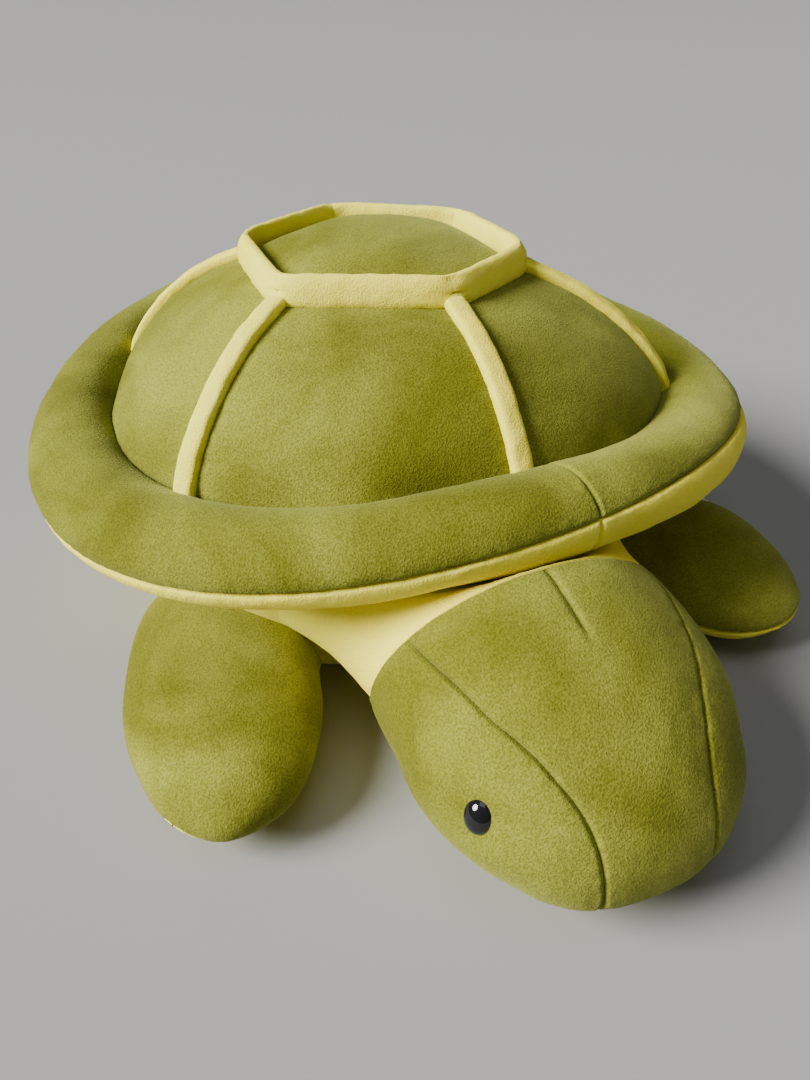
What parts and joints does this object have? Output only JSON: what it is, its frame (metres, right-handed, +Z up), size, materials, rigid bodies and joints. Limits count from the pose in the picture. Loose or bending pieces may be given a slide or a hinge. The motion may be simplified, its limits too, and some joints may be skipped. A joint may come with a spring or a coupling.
{
  "type": "plush turtle",
  "caption": "Stuffed plush turtle lying on its belly: domed panelled shell with a raised collar and a rolled rim, egg-shaped head, flippers and tail.",
  "frame": {"origin": "middle of the flat belly under the shell, on the surface that the toy lies on", "axes": "+Z up, -Y towards the nose, +X towards the turtle's left"},
  "size_m": [0.4004, 0.5035, 0.2075],
  "materials": {
    "plush_green": "short-pile plush, olive green, soft sheen",
    "plush_yellow": "short-pile plush, pale yellow, soft sheen",
    "stuffing": "loose white polyester fibre",
    "eye_plastic": "polished black",
    "washer_plastic": "natural matt"
  },
  "bodies": {
    "torso": {"shell_top_panel": "plush_green", "shell_side_panel_1": "plush_green", "shell_side_panel_2": "plush_green", "shell_side_panel_3": "plush_green", "shell_side_panel_4": "plush_green", "shell_side_panel_5": "plush_green", "shell_side_panel_6": "plush_green", "shell_stuffing": "stuffing", "rib_strip_1": "plush_yellow", "rib_strip_2": "plush_yellow", "rib_strip_3": "plush_yellow", "rib_strip_4": "plush_yellow", "rib_strip_5": "plush_yellow", "rib_strip_6": "plush_yellow", "collar_strip_1": "plush_yellow", "collar_strip_2": "plush_yellow", "collar_strip_3": "plush_yellow", "collar_strip_4": "plush_yellow", "collar_strip_5": "plush_yellow", "collar_strip_6": "plush_yellow", "rim_upper_left": "plush_green", "rim_upper_right": "plush_green", "rim_lower_left": "plush_yellow", "rim_lower_right": "plush_yellow", "rim_stuffing": "stuffing", "body_wall_left": "plush_yellow", "body_wall_right": "plush_yellow", "belly_panel": "plush_yellow", "body_stuffing": "stuffing", "neck_sleeve": "plush_yellow", "neck_stuffing": "stuffing"},
    "head": {"head_crown": "plush_green", "head_side_left": "plush_green", "head_side_right": "plush_green", "head_chin": "plush_yellow", "head_stuffing": "stuffing", "eye_left": "eye_plastic", "eye_right": "eye_plastic", "eye_washer_left": "washer_plastic", "eye_washer_right": "washer_plastic"},
    "front_left_flipper": {"front_left_flipper_upper": "plush_green", "front_left_flipper_lower": "plush_yellow", "front_left_flipper_stuffing": "stuffing"},
    "front_right_flipper": {"front_right_flipper_upper": "plush_green", "front_right_flipper_lower": "plush_yellow", "front_right_flipper_stuffing": "stuffing"},
    "rear_left_flipper": {"rear_left_flipper_upper": "plush_green", "rear_left_flipper_lower": "plush_yellow", "rear_left_flipper_stuffing": "stuffing"},
    "rear_right_flipper": {"rear_right_flipper_upper": "plush_green", "rear_right_flipper_lower": "plush_yellow", "rear_right_flipper_stuffing": "stuffing"},
    "tail": {"tail_upper": "plush_green", "tail_lower": "plush_yellow", "tail_stuffing": "stuffing"}
  },
  "joints": [
    {"name": "head_nod", "type": "hinge", "parent": "torso", "child": "head", "pos_m": [-0.004, -0.199, 0.116], "axis": [-1, 0, 0], "range_deg": [0, 12], "stiffness_Nm_per_rad": 0.5},
    {"name": "front_left_flap", "type": "hinge", "parent": "torso", "child": "front_left_flipper", "pos_m": [0.12884, -0.08368, 0.02612], "axis": [-0.5851, -0.811, 0], "range_deg": [-8, 12], "stiffness_Nm_per_rad": 2},
    {"name": "front_right_flap", "type": "hinge", "parent": "torso", "child": "front_right_flipper", "pos_m": [-0.12107, -0.09259, 0.0265], "axis": [-0.5917, 0.8062, 0], "range_deg": [-8, 15], "stiffness_Nm_per_rad": 2},
    {"name": "rear_left_flap", "type": "hinge", "parent": "torso", "child": "rear_left_flipper", "pos_m": [0.10142, 0.09773, 0.02704], "axis": [0.622, -0.783, 0], "range_deg": [-8, 15], "stiffness_Nm_per_rad": 1.5},
    {"name": "rear_right_flap", "type": "hinge", "parent": "torso", "child": "rear_right_flipper", "pos_m": [-0.10142, 0.09773, 0.02704], "axis": [0.622, 0.783, 0], "range_deg": [-8, 15], "stiffness_Nm_per_rad": 1.5},
    {"name": "tail_flap", "type": "hinge", "parent": "torso", "child": "tail", "pos_m": [0, 0.14686, 0.03137], "axis": [1, 0, 0], "range_deg": [-12, 20], "stiffness_Nm_per_rad": 0.2}
  ]
}
